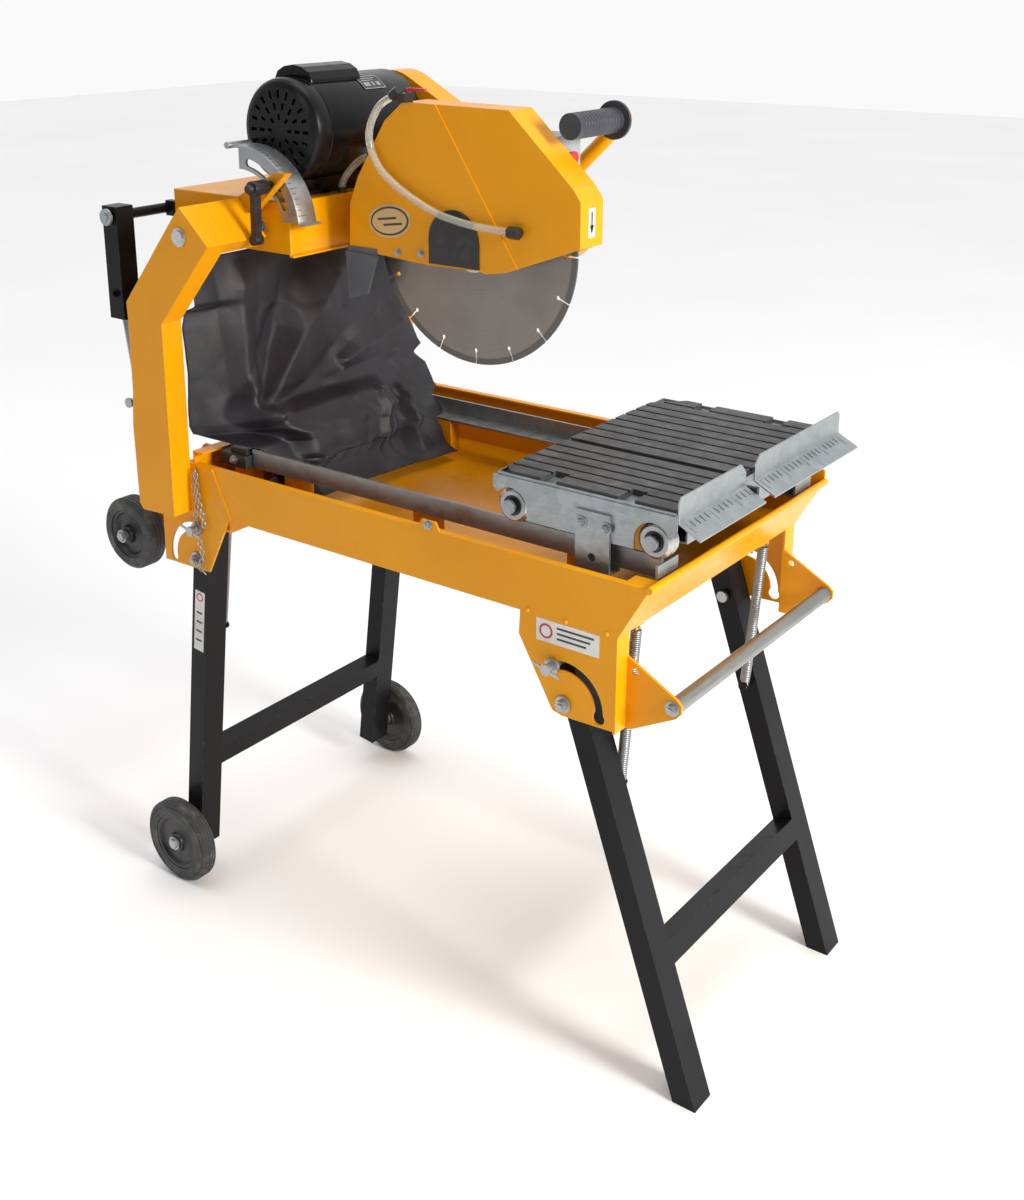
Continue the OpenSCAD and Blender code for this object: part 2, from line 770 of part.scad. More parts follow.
// Ribbed rubber pad with its grooves along X
module pad(y0, y1, n, cut) {
    x0 = deck_x + 2.5;
    x1 = deck_x + deck_len - 1;
    z0 = deck_z - 8;
    step = (y1 - y0) / (n + 1);
    color(rubber) difference() {
        translate([0, 0, z0]) linear_extrude(8) polygon(cut > 0 ?
            [[x0, y0], [x1, y0], [x1, y1], [x0 + cut, y1], [x0, y1 - cut]] :
            [[x0 - cut, y0], [x1, y0], [x1, y1], [x0, y1], [x0, y0 - cut]]);
        for (i = [1:n]) slab([x0 - 1, y0 + i * step - 2.5, z0 + 3],
            [x1 + 1, y0 + i * step + 2.5, z0 + 9]);
    }
}
module pad_near() {
    difference() {
        pad(-216.5, blade_y - slot_w / 2, 5, -16);
        color(rubber) for (x = [302, 423]) slab([x, -218, deck_z - 9], [x + 24, -182, deck_z + 1]);
    }
}
module pad_far() {
    difference() {
        pad(blade_y + slot_w / 2, 216.5, 8, 42);
        color(rubber) for (x = [303, 424]) slab([x, 182, deck_z - 9], [x + 26, 218, deck_z + 1]);
    }
}

// One length of the folded fence with its raised scale marks
module fence(y0, y1, c0, c1) {
    x = deck_x + deck_len + 10;
    color(steel) {
        translate([x, 0, 0]) rotate([90, 0, 90]) linear_extrude(2.5) polygon([[y0, 858],
            [y1, 858], [y1, fence_top - c1], [y1 - c1, fence_top], [y0 + c0, fence_top],
            [y0, fence_top - c0]]);
        plate(y0, y1) polygon([[x, 858], [x + 2.5, 859], [x + 34, 843], [x + 33, 840]]);
        for (i = [0:floor((y1 - y0 - 16) / 12)]) plate(y0 + 8 + i * 12, y0 + 9.6 + i * 12)
            bar2([x + 6, 857.4], [x + (i % 5 == 0 ? 24 : 16), i % 5 == 0 ? 848.4 : 852.4], 2);
    }
}
module fence_near() {
    fence(-233, -58, 6, 14);
    color(steel) slab([deck_x + deck_len, -200, 855], [deck_x + deck_len + 10, -90, 858]);
}
module fence_far() {
    fence(-32, 233, 14, 6);
    color(steel) slab([deck_x + deck_len, 0, 855], [deck_x + deck_len + 10, 200, 858]);
}

// Grooved roller turned about Y, seen from its groove
module roller() {
    rotate([-90, 0, 0]) rotate_extrude() polygon([[7 + run, -11], [20, -11], [25, -8],
        [25, -4.5], [22.7, -3.2], [22.7, 3.2], [25, 4.5], [25, 8], [20, 9],
        [7 + run, 9]]);
}
module front_rollers() {
    color(steel) both() translate([deck_x + deck_len - 32, -204, roller_z]) roller();
}
module rear_rollers() {
    color(steel) both() translate([deck_x + 23, -204, roller_z]) roller();
}

// Front legs with their cross bar, cut off level with the floor
module front_legs() {
    color(black) difference() {
        on_leg(front_piv, -front_lean) leg_pair(-236, -192, 640, -394);
        slab([400, -300, -120], [700, 300, 0]);
    }
}
module front_feet() {
    color(rubber) both() intersection() {
        on_leg(front_piv, -front_lean) slab([-13.8, -232.8, -640], [13.8, -195.2, 0]);
        slab([400, -300, 0], [700, 300, 16]);
    }
}

// Rear legs with their cross bar
module rear_legs() {
    color(black) on_leg(rear_piv, rear_lean) leg_pair(-249, -205, 562, -391);
}

// Axle bolts of the lower wheels
module wheel_bolts() {
    color(steel) both() {
        rod(axle_low, 8, -294, -249);
        rod(axle_low, 12, -263, -249);
        rod(axle_low, 12, -296, -294);
        translate([axle_low[0], -296, axle_low[1]]) rotate([90, 0, 0])
            cylinder(r = 9, h = 4, $fn = 6);
    }
}

// Lock pin with its pull ring plate, on the near side
module lock_pin(p, tip) {
    color(steel) {
        rod(p, pin_r, -272, tip);
        rod(p, 11, -262, -257);
        rod(p, 8, -276, -272);
        plate(-275, -273) bar2(p + [-22, 6], p + [22, -6], 4);
    }
}
function pin_at(piv, lean) = piv + 55 * [sin(lean), cos(lean)];
module pin_front_near() { lock_pin(pin_at(front_piv, -front_lean), -191.7); }
module pin_front_far() { mirror([0, 1, 0]) lock_pin(pin_at(front_piv, -front_lean), -191.7); }
module pin_rear_near() { lock_pin(pin_at(rear_piv, rear_lean), -204.5); }
module pin_rear_far() { mirror([0, 1, 0]) lock_pin(pin_at(rear_piv, rear_lean), -204.5); }

// Springs that pull the legs to their stops
module leg_springs() {
    f = front_piv - 146 * [sin(-front_lean), cos(front_lean)];
    r = rear_piv - 146 * [sin(rear_lean), cos(rear_lean)];
    color(steel) both() {
        spring(f, [436, 680], -183, 8, 2.6);
        spring(r, [-332, 665], -196, 8, 2.6);
    }
}

// Tyre and hub of a lower wheel
module tyre_near() {
    color(rubber) translate([axle_low[0], -277, axle_low[1]]) rotate([-90, 0, 0])
        rotate_extrude() difference() {
            polygon([[50, -14], [wheel_r - 6, -14], [wheel_r, -9], [wheel_r, 9],
                [wheel_r - 6, 14], [50, 14]]);
            for (z = [-6, 0, 6]) translate([wheel_r, z]) circle(1.4);
            for (z = [-14.5, 14.5]) translate([wheel_r - 9, z]) circle(1.6);
        }
}
module hub_near() {
    color(black) translate([axle_low[0], -277, axle_low[1]]) rotate([-90, 0, 0])
        rotate_extrude() polygon([[8 + run, -16], [16, -16], [18, -10], [40, -8], [44, -13],
            [50, -13], [50, 13], [44, 13], [40, 8], [18, 10], [16, 13.9], [8 + run, 13.9]]);
}
module tyre_far() { mirror([0, 1, 0]) tyre_near(); }
module hub_far() { mirror([0, 1, 0]) hub_near(); }

// Tyres and hubs of the two upper wheels
module high_tyres() {
    color(rubber) both() translate([axle_high[0], -231.5, axle_high[1]])
        rotate([-90, 0, 0]) rotate_extrude() difference() {
            polygon([[42, -18], [high_wheel_r - 7, -18], [high_wheel_r, -12],
                [high_wheel_r, 12], [high_wheel_r - 7, 18], [42, 18]]);
            for (z = [-7, 0, 7]) translate([high_wheel_r, z]) circle(1.4);
        }
}
module high_hubs() {
    color(black) both() translate([axle_high[0], -231.5, axle_high[1]])
        rotate([-90, 0, 0]) rotate_extrude() polygon([[8 + run, -22], [14, -22], [16, -12],
            [34, -9], [38, -16], [42, -16], [42, 16], [38, 16], [34, 10], [16, 12],
            [14, 21], [8 + run, 21]]);
}

tray();
column_near();
column_far();
tie_beam();
clamp_plate();
rails();
stop_blocks();
front_brackets();
rear_brackets();
carry_bar();
wheel_carrier();
frame_bolts();
pivot_shaft();
curtain();
head_box();
strut_rod();
head_bolts();
depth_gauge();
motor();
motor_box();
arm();
belt_cover();
belt();
guard();
guard_window();
splash_flap();
grip();
switch_box();
hoses();
water_fittings();
motor_pulley();
spindle();
blade();
clamp_lever();
switch_button();
valve_lever();
lift_tube();
lift_spring();
cart_frame();
pad_near();
pad_far();
fence_near();
fence_far();
front_rollers();
rear_rollers();
front_legs();
front_feet();
rear_legs();
wheel_bolts();
pin_front_near();
pin_front_far();
pin_rear_near();
pin_rear_far();
leg_springs();
tyre_near();
hub_near();
tyre_far();
hub_far();
high_tyres();
high_hubs();
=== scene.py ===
import bpy
import json
import math
from mathutils import Vector, Matrix, noise


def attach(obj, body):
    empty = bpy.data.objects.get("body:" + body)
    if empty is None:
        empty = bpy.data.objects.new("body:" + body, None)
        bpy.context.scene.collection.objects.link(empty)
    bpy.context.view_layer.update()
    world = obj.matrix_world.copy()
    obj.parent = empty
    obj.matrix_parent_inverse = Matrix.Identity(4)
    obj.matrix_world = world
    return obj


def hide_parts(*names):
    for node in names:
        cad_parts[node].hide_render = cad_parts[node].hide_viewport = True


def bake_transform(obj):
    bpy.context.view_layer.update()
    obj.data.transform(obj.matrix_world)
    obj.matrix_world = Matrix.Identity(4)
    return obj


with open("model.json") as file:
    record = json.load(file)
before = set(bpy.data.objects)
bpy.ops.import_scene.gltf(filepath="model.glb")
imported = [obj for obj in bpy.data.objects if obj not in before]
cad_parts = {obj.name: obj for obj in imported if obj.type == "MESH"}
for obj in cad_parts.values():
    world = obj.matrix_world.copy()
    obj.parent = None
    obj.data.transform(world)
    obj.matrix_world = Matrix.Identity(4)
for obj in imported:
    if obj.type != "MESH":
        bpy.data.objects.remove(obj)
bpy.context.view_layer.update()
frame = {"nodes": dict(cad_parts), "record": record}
NODES = frame["nodes"]
MM = 0.001


# ---------------------------------------------------------------- node helpers
def opaque(value):
    """A colour of three numbers gets full alpha, and any other value stays as it is."""
    if isinstance(value, (tuple, list)) and len(value) == 3:
        return (*value, 1.0)
    return value


class Graph:
    """One material's node tree with short calls for the nodes used here."""

    def __init__(self, name):
        self.mat = bpy.data.materials.new(name)
        self.mat.use_nodes = True
        self.nt = self.mat.node_tree
        self.nt.nodes.clear()
        self.out = self.nt.nodes.new("ShaderNodeOutputMaterial")
        self.bsdf = self.nt.nodes.new("ShaderNodeBsdfPrincipled")
        self.link(self.bsdf.outputs[0], self.out.inputs[0])
        self.pos = self.nt.nodes.new("ShaderNodeTexCoord").outputs["Object"]
        self.height = None

    def link(self, a, b):
        self.nt.links.new(a, b)

    def put(self, socket, value):
        if hasattr(value, "is_linked") or hasattr(value, "links"):
            self.link(value, socket)
        else:
            socket.default_value = value

    def set(self, name, value):
        self.put(self.bsdf.inputs[name], opaque(value))

    def scale(self, sx, sy, sz):
        n = self.nt.nodes.new("ShaderNodeMapping")
        n.inputs["Scale"].default_value = (sx, sy, sz)
        self.link(self.pos, n.inputs["Vector"])
        return n.outputs[0]

    def noise(self, scale, detail=4, rough=0.55, vec=None):
        n = self.nt.nodes.new("ShaderNodeTexNoise")
        n.inputs["Scale"].default_value = scale
        n.inputs["Detail"].default_value = detail
        n.inputs["Roughness"].default_value = rough
        self.link(vec or self.pos, n.inputs["Vector"])
        return n.outputs["Fac"]

    def voronoi(self, scale, out="Distance"):
        n = self.nt.nodes.new("ShaderNodeTexVoronoi")
        n.inputs["Scale"].default_value = scale
        self.link(self.pos, n.inputs["Vector"])
        return n.outputs[out]

    def bands(self, scale, axis):
        n = self.nt.nodes.new("ShaderNodeTexWave")
        n.bands_direction = axis
        n.inputs["Scale"].default_value = scale
        self.link(self.pos, n.inputs["Vector"])
        return n.outputs["Fac"]

    def span(self, fac, lo, hi, a=0.0, b=1.0):
        n = self.nt.nodes.new("ShaderNodeMapRange")
        self.link(fac, n.inputs[0])
        for i, v in enumerate((lo, hi, a, b)):
            n.inputs[i + 1].default_value = v
        return n.outputs[0]

    def math(self, op, a, b=0.0):
        n = self.nt.nodes.new("ShaderNodeMath")
        n.operation = op
        self.put(n.inputs[0], a)
        self.put(n.inputs[1], b)
        return n.outputs[0]

    def mix(self, fac, a, b):
        n = self.nt.nodes.new("ShaderNodeMix")
        n.data_type = "RGBA"
        self.put(n.inputs["Factor"], fac)
        for s, v in ((n.inputs[6], a), (n.inputs[7], b)):
            self.put(s, opaque(v))
        return n.outputs[2]

    def bump(self, height, strength, distance):
        n = self.nt.nodes.new("ShaderNodeBump")
        n.inputs["Strength"].default_value = strength
        n.inputs["Distance"].default_value = distance
        self.link(height, n.inputs["Height"])
        if self.height is not None:
            self.link(self.height, n.inputs["Normal"])
        self.height = n.outputs[0]
        self.link(self.height, self.bsdf.inputs["Normal"])

    def normal_z(self):
        g = self.nt.nodes.new("ShaderNodeNewGeometry")
        n = self.nt.nodes.new("ShaderNodeSeparateXYZ")
        self.link(g.outputs["Normal"], n.inputs[0])
        return n.outputs[2]

    def edges(self, radius=0.0015):
        """1 on sharp edges, 0 on open faces."""
        b = self.nt.nodes.new("ShaderNodeBevel")
        b.samples = 4
        b.inputs["Radius"].default_value = radius
        g = self.nt.nodes.new("ShaderNodeNewGeometry")
        d = self.nt.nodes.new("ShaderNodeVectorMath")
        d.operation = "DOT_PRODUCT"
        self.link(b.outputs[0], d.inputs[0])
        self.link(g.outputs["Normal"], d.inputs[1])
        return self.span(d.outputs["Value"], 0.96, 0.8)


def paint(name, colour, deep, rough=0.3, coat=0.25, chips=(0.3, 0.3, 0.3), dust=0.12, shine=0.3):
    g = Graph(name)
    broad = g.noise(3.2, 5)
    c = g.mix(g.span(broad, 0.35, 0.7), colour, deep)
    grime = g.math("MULTIPLY", g.span(g.noise(26, 6, 0.65), 0.56, 0.72),
                   g.span(g.normal_z(), 0.2, 0.95, 0.15, 1.0))
    c = g.mix(g.math("MULTIPLY", grime, dust * 2.4), c, (0.36, 0.3, 0.22))
    edge_mark = g.math("MULTIPLY", g.edges(0.0012), g.span(g.noise(90, 3), 0.55, 0.66))
    c = g.mix(g.math("MULTIPLY", edge_mark, 0.75), c, chips)
    specks = g.span(g.voronoi(240), 0.06, 0.03)
    c = g.mix(g.math("MULTIPLY", specks, g.span(g.noise(14), 0.58, 0.7, 0, 0.5)), c, chips)
    g.set("Base Color", c)
    g.set("Roughness", g.math("ADD", g.span(g.noise(9, 4), 0.3, 0.75, rough - 0.06, rough + 0.1),
                              g.math("MULTIPLY", grime, 0.25)))
    g.set("Specular IOR Level", shine)
    g.set("Coat Weight", coat)
    g.set("Coat Roughness", 0.12)
    g.bump(g.noise(420, 2), 0.10, 0.0006)
    g.bump(g.noise(34, 3), 0.06, 0.0015)
    return g.mat


def metal(name, colour, deep, rough, brushed, spangle, rust):
    g = Graph(name)
    c = g.mix(g.span(g.noise(7, 5), 0.35, 0.7), colour, deep)
    if spangle:
        cell = g.voronoi(70, out="Color")
        s = g.nt.nodes.new("ShaderNodeSeparateColor")
        g.link(cell, s.inputs[0])
        c = g.mix(g.span(s.outputs[0], 0, 1, 0, spangle), c, tuple(v * 1.35 for v in colour))
    if rust:
        spots = g.math("MULTIPLY", g.span(g.noise(60, 6, 0.7), 0.62, 0.74), rust)
        c = g.mix(spots, c, (0.22, 0.1, 0.04))
    c = g.mix(g.math("MULTIPLY", g.span(g.noise(19, 6, 0.7), 0.52, 0.7), 0.22), c, (0.32, 0.29, 0.25))
    g.set("Base Color", c)
    g.set("Metallic", 0.9)
    streak = g.noise(1.0, 3, vec=g.scale(*brushed))
    g.set("Roughness", g.span(streak, 0.3, 0.7, rough - 0.08, rough + 0.12))
    g.bump(streak, 0.08, 0.0005)
    return g.mat


def plastic(name, colour, rough=0.4, grain=500, edge_mark=(0.2, 0.2, 0.2), dust=0.1):
    g = Graph(name)
    c = g.mix(g.span(g.noise(11, 5), 0.35, 0.7), colour, tuple(v * 0.72 + 0.004 for v in colour))
    d = g.math("MULTIPLY", g.span(g.noise(38, 6, 0.7), 0.5, 0.72), dust)
    c = g.mix(d, c, (0.3, 0.28, 0.24))
    # even rim in the edge colour along every sharp edge, lighter on the dark plastics: partly rubbed
    # wear, partly a painted edge highlight
    c = g.mix(g.math("MULTIPLY", g.edges(0.001), 0.25), c, edge_mark)
    g.set("Base Color", c)
    g.set("Roughness", g.span(g.noise(24, 4), 0.3, 0.7, rough - 0.07, rough + 0.1))
    g.bump(g.noise(grain, 3), 0.16, 0.0005)
    return g.mat


BLADE_CENTRE = (0.069, 0, 1.1316)
BLADE_RIM = (0.1685, 0.1695)    # radii between which the steel turns into the cutting rim


def blade_steel():
    g = Graph("blade_ground")
    m = g.nt.nodes.new("ShaderNodeMapping")
    m.inputs["Location"].default_value = [-v for v in BLADE_CENTRE]
    g.link(g.pos, m.inputs["Vector"])
    s = g.nt.nodes.new("ShaderNodeSeparateXYZ")
    g.link(m.outputs[0], s.inputs[0])
    squares = [g.math("POWER", s.outputs[k], 2.0) for k in (0, 2)]
    r = g.math("SQRT", g.math("ADD", *squares))
    cv = g.nt.nodes.new("ShaderNodeCombineXYZ")
    g.link(g.math("MULTIPLY", r, 900.0), cv.inputs[0])
    rings = g.noise(1.0, 2, vec=cv.outputs[0])
    c = g.mix(g.span(rings, 0.35, 0.65), (0.30, 0.27, 0.245), (0.22, 0.2, 0.185))
    c = g.mix(g.span(g.noise(14, 5), 0.45, 0.75, 0, 0.5), c, (0.18, 0.155, 0.135))
    c = g.mix(g.span(r, *BLADE_RIM), c, (0.16, 0.15, 0.14))
    g.set("Base Color", c)
    g.set("Metallic", 0.85)
    g.set("Roughness", g.span(rings, 0.3, 0.7, 0.34, 0.5))
    g.bump(rings, 0.12, 0.0004)
    rim = g.math("MULTIPLY", g.span(r, *BLADE_RIM), g.noise(900, 4))
    g.bump(rim, 0.6, 0.0008)
    return g.mat


def pad_rubber():
    g = Graph("pad_rubber")
    c = g.mix(g.span(g.noise(13, 6, 0.6), 0.35, 0.7), (0.028, 0.029, 0.031), (0.05, 0.05, 0.052))
    top = g.span(g.normal_z(), 0.5, 0.95)
    dust = g.math("MULTIPLY", g.span(g.noise(45, 6, 0.7), 0.5, 0.75), g.math("MULTIPLY", top, 0.35))
    c = g.mix(dust, c, (0.2, 0.19, 0.17))
    g.set("Base Color", c)
    g.set("Roughness", g.span(g.noise(30), 0.3, 0.7, 0.42, 0.62))
    g.bump(g.noise(700, 3), 0.25, 0.0006)
    return g.mat


WEAVE = 420     # scale of the band texture that draws the weave


def curtain_cloth():
    g = Graph("curtain_cloth")
    a = g.bands(WEAVE, "Y")
    b = g.bands(WEAVE, "Z")
    c = g.mix(g.span(g.noise(9, 5), 0.35, 0.7), (0.0065, 0.0058, 0.0088), (0.013, 0.012, 0.018))
    c = g.mix(g.math("MULTIPLY", g.span(g.noise(32, 6, 0.7), 0.55, 0.75), 0.12), c, (0.07, 0.066, 0.075))
    g.set("Base Color", c)
    g.set("Roughness", g.span(g.noise(17), 0.3, 0.7, 0.44, 0.56))
    g.set("Specular IOR Level", 0.42)
    g.set("Sheen Weight", 0.05)
    g.set("Sheen Roughness", 0.35)
    g.set("Sheen Tint", (0.75, 0.7, 0.95))
    g.bump(g.math("MAXIMUM", a, b), 0.2, 0.0006)
    g.bump(g.noise(15, 3, 0.5), 0.35, 0.005)
    return g.mat


def clear_vinyl():
    g = Graph("clear_vinyl")
    g.set("Base Color", g.mix(g.span(g.noise(40), 0.35, 0.7), (0.86, 0.87, 0.76), (0.78, 0.78, 0.66)))
    g.set("Transmission Weight", 0.72)
    g.set("IOR", 1.38)
    g.set("Roughness", g.span(g.noise(120), 0.3, 0.7, 0.08, 0.22))
    g.set("Coat Weight", 0.3)
    g.bump(g.noise(60), 0.1, 0.001)
    return g.mat


def floor_mat():
    g = Graph("floor_pale")
    g.set("Base Color", g.mix(g.span(g.noise(0.8, 3), 0.3, 0.7), (0.86, 0.86, 0.87), (0.83, 0.83, 0.84)))
    g.set("Roughness", 0.75)
    return g.mat


ORANGE = paint("orange_paint", (0.78, 0.325, 0.0015), (0.70, 0.27, 0.001),
               0.3, 0.06, (0.26, 0.25, 0.24), 0.03, 0.2)
BLACKP = paint("black_paint", (0.005, 0.005, 0.006), (0.008, 0.008, 0.010),
               0.36, 0.05, (0.16, 0.16, 0.16), 0.006, 0.13)
MOTORP = paint("motor_black", (0.004, 0.0042, 0.005), (0.007, 0.007, 0.009),
               0.27, 0.10, (0.12, 0.12, 0.12), 0.005, 0.18)
ZINC = metal("zinc_plate", (0.40, 0.415, 0.43), (0.31, 0.33, 0.34), 0.36, (40, 300, 300), 0.25, 0.10)
GALV = metal("galvanised", (0.33, 0.36, 0.37), (0.26, 0.285, 0.30), 0.42, (70, 70, 260), 0.4, 0.06)
BRIGHT = metal("bright_steel", (0.60, 0.60, 0.60), (0.46, 0.46, 0.46), 0.24, (300, 30, 300), 0, 0.05)
TUBE = metal("satin_tube", (0.31, 0.31, 0.30), (0.25, 0.25, 0.24), 0.40, (300, 30, 300), 0, 0.05)
BLADE = blade_steel()
PAD = pad_rubber()
RUBBER = plastic("black_rubber", (0.018, 0.018, 0.02), 0.55, 380, (0.09, 0.09, 0.09), 0.1)
FLAP = plastic("flap_rubber", (0.09, 0.105, 0.125), 0.5, 300, (0.2, 0.2, 0.2), 0.1)
TYRE = plastic("tyre_rubber", (0.035, 0.035, 0.037), 0.6, 260, (0.16, 0.16, 0.16), 0.35)
BLACK = plastic("black_plastic", (0.012, 0.012, 0.013), 0.35, 500, (0.08, 0.08, 0.08), 0.08)
GRIP = plastic("grip_rubber", (0.03, 0.032, 0.042), 0.42, 420, (0.1, 0.1, 0.12), 0.06)
CLOTH = curtain_cloth()
GREY = plastic("grey_plastic", (0.33, 0.35, 0.38), 0.45, 420, (0.5, 0.5, 0.5), 0.1)
HOSE = clear_vinyl()
RED = plastic("red_plastic", (0.55, 0.015, 0.012), 0.32, 300, (0.6, 0.2, 0.2), 0.05)
WHITE = plastic("label_white", (0.72, 0.71, 0.68), 0.35, 300, (0.5, 0.5, 0.5), 0.12)
CREAM = plastic("badge_cream", (0.62, 0.42, 0.17), 0.35, 300, (0.5, 0.5, 0.5), 0.1)
INK = plastic("label_ink", (0.03, 0.03, 0.03), 0.4, 300)
REDINK = plastic("label_red", (0.5, 0.03, 0.03), 0.4, 300)

FINISH = {
    "orange_paint": ORANGE, "black_paint": BLACKP, "zinc_plate": ZINC, "bright_steel": BRIGHT,
    "blade_steel": BLADE, "black_rubber": RUBBER, "flap_rubber": FLAP, "wheel_tyre": TYRE,
    "black_plastic": BLACK, "curtain_cloth": CLOTH, "grey_box": GREY, "clear_hose": HOSE,
    "red_plastic": RED,
}
SPECIAL = {
    "motor": MOTORP, "motor_box": MOTORP, "pad_near": PAD, "pad_far": PAD, "grip": GRIP,
    "fence_near": GALV, "fence_far": GALV, "rails": GALV, "cart_frame": GALV,
    "front_rollers": BRIGHT, "rear_rollers": BRIGHT, "carry_bar": TUBE,
}
for part in frame["record"]["subparts"]:
    o = NODES[part["node"]]
    o.data.materials.clear()
    o.data.materials.append(SPECIAL.get(part["node"], FINISH[part["material_slot"]]))
SOFT_EDGE = {"tray": 0.9, "guard": 1.6, "head_box": 1.6, "belt_cover": 2.4, "column_near": 1.0,
             "column_far": 1.0, "front_legs": 2.0, "rear_legs": 2.0, "motor": 1.2, "motor_box": 5.0,
             "arm": 1.4, "cart_frame": 0.5, "pad_near": 0.7, "pad_far": 0.7, "fence_near": 0.5,
             "fence_far": 0.5, "rails": 0.6, "switch_box": 3.0, "tyre_near": 1.5, "tyre_far": 1.5,
             "high_tyres": 1.5, "hub_near": 1.0, "hub_far": 1.0, "high_hubs": 1.0,
             "front_brackets": 0.8, "rear_brackets": 0.8, "stop_blocks": 2.0, "lift_tube": 1.5,
             "clamp_lever": 1.5, "tie_beam": 1.0, "clamp_plate": 0.6, "depth_gauge": 0.5}
for name, w in SOFT_EDGE.items():
    o = NODES[name]
    m = o.modifiers.new("weld", "WELD")
    m.merge_threshold = 0.00002
    m = o.modifiers.new("soft_edge", "BEVEL")
    m.width = w * MM
    m.segments = 2
    m.limit_method = "ANGLE"
    m.angle_limit = math.radians(28)
    m.use_clamp_overlap = True


# ---------------------------------------------------------------- mesh helpers
def mesh_object(name, verts, faces, mat, smooth=True):
    me = bpy.data.meshes.new(name)
    me.from_pydata([tuple(v) for v in verts], [], faces)
    me.update()
    o = bpy.data.objects.new(name, me)
    bpy.context.scene.collection.objects.link(o)
    me.materials.append(mat)
    for p in me.polygons:
        p.use_smooth = smooth
    return o


def smooth_path(points, per=10):
    """Catmull-Rom points through the given ones."""
    p = [Vector(q) for q in points]
    p = [2 * p[0] - p[1]] + p + [2 * p[-1] - p[-2]]
    out = []
    for i in range(1, len(p) - 2):
        a, b, c, d = p[i - 1], p[i], p[i + 1], p[i + 2]
        for k in range(per):
            t = k / per
            out.append(0.5 * ((2 * b) + (c - a) * t + (2 * a - 5 * b + 4 * c - d) * t * t
                              + (3 * b - a - 3 * c + d) * t ** 3))
    out.append(p[-2])
    return out


def tube(name, path, r, mat, sides=12, caps=True):
    """Round tube along a path with frames carried along it."""
    verts, faces = [], []
    t = (path[1] - path[0]).normalized()
    n = t.orthogonal().normalized()
    for i, q in enumerate(path):
        if i:
            t2 = (path[min(i + 1, len(path) - 1)] - path[i - 1]).normalized()
            n = (n - t2 * n.dot(t2)).normalized()
            t = t2
        b = t.cross(n)
        for k in range(sides):
            a = 2 * math.pi * k / sides
            verts.append(q + r * (math.cos(a) * n + math.sin(a) * b))
    for i in range(len(path) - 1):
        for k in range(sides):
            j = (k + 1) % sides
            faces.append((i * sides + k, i * sides + j, (i + 1) * sides + j, (i + 1) * sides + k))
    if caps:
        faces.append(tuple(range(sides))[::-1])
        faces.append(tuple((len(path) - 1) * sides + k for k in range(sides)))
    return mesh_object(name, verts, faces, mat)


EYE = 0.007         # length kept for the hook eye at each end of a spring
COIL_STEPS = 14     # points per turn


def coil(name, a, b, r, wire, mat, pitch, start=0.0, end=1.0):
    """Helical spring from point a to point b with hook eyes turned about Y."""
    a, b = Vector(a), Vector(b)
    axis = b - a
    length = axis.length
    axis.normalize()
    side = Vector((0, 1, 0))
    up = axis.cross(side).normalized()
    lo, hi = EYE, length - EYE
    turns = (hi - lo) / pitch
    pts = []
    if start == 0.0:
        for k in range(16):
            an = math.radians(-80 + 330 * k / 16)
            pts.append(a + EYE * 0.8 * (math.sin(an) * up + math.cos(an) * axis))
    n = int(turns * COIL_STEPS)
    for i in range(n + 1):
        f = i / n
        if f < start or f > end:
            continue
        an = 2 * math.pi * turns * f
        pts.append(a + axis * (lo + (hi - lo) * f) + r * (math.cos(an) * up + math.sin(an) * side))
    if end == 1.0:
        for k in range(17):
            an = math.radians(-80 + 330 * k / 16)
            pts.append(b + EYE * 0.8 * (math.sin(an) * up - math.cos(an) * axis))
    return tube(name, pts, wire / 2, mat, 7)


def merged(name, objs):
    """Joins finished meshes into the first one."""
    bpy.ops.object.select_all(action="DESELECT")
    for o in objs:
        o.select_set(True)
    bpy.context.view_layer.objects.active = objs[0]
    bpy.ops.object.join()
    objs[0].name = name
    return objs[0]


def block(name, lo, hi, mat, bevel=0.0):
    lo, hi = Vector(lo) * MM, Vector(hi) * MM
    v = [(x, y, z) for x in (lo.x, hi.x) for y in (lo.y, hi.y) for z in (lo.z, hi.z)]
    f = [(0, 1, 3, 2), (4, 6, 7, 5), (0, 4, 5, 1), (2, 3, 7, 6), (0, 2, 6, 4), (1, 5, 7, 3)]
    o = mesh_object(name, v, f, mat, False)
    if bevel:
        m = o.modifiers.new("b", "BEVEL")
        m.width = bevel * MM
        m.segments = 2
    return o


def disc_y(name, c, r, y0, y1, mat, sides=40):
    """Short cylinder along Y."""
    v, f = [], []
    for y in (y0, y1):
        for k in range(sides):
            a = 2 * math.pi * k / sides
            v.append(Vector((c[0] + r * math.cos(a), y, c[1] + r * math.sin(a))) * MM)
    f.append(tuple(range(sides)))
    f.append(tuple(sides + k for k in range(sides))[::-1])
    for k in range(sides):
        j = (k + 1) % sides
        f.append((k, sides + k, sides + j, j))
    return mesh_object(name, v, f, mat, False)


def outline_y(name, pts, y0, y1, mat):
    """Flat plate across Y from an outline in x and z, in millimetres."""
    n = len(pts)
    v = [Vector((p[0], y, p[1])) * MM for y in (y0, y1) for p in pts]
    f = [tuple(range(n)), tuple(n + k for k in range(n))[::-1]]
    f += [(k, n + k, n + (k + 1) % n, (k + 1) % n) for k in range(n)]
    return mesh_object(name, v, f, mat, False)


def ring_y(c, rx, rz, n):
    """Outline of an ellipse in x and z with n corners."""
    angles = [2 * math.pi * i / n for i in range(n)]
    return [(c[0] + rx * math.cos(a), c[1] + rz * math.sin(a)) for a in angles]


# ---------------------------------------------------------------- splash curtain
STAR = (0.16, 0.60)         # where the long folds meet, as shares of the width and the drop
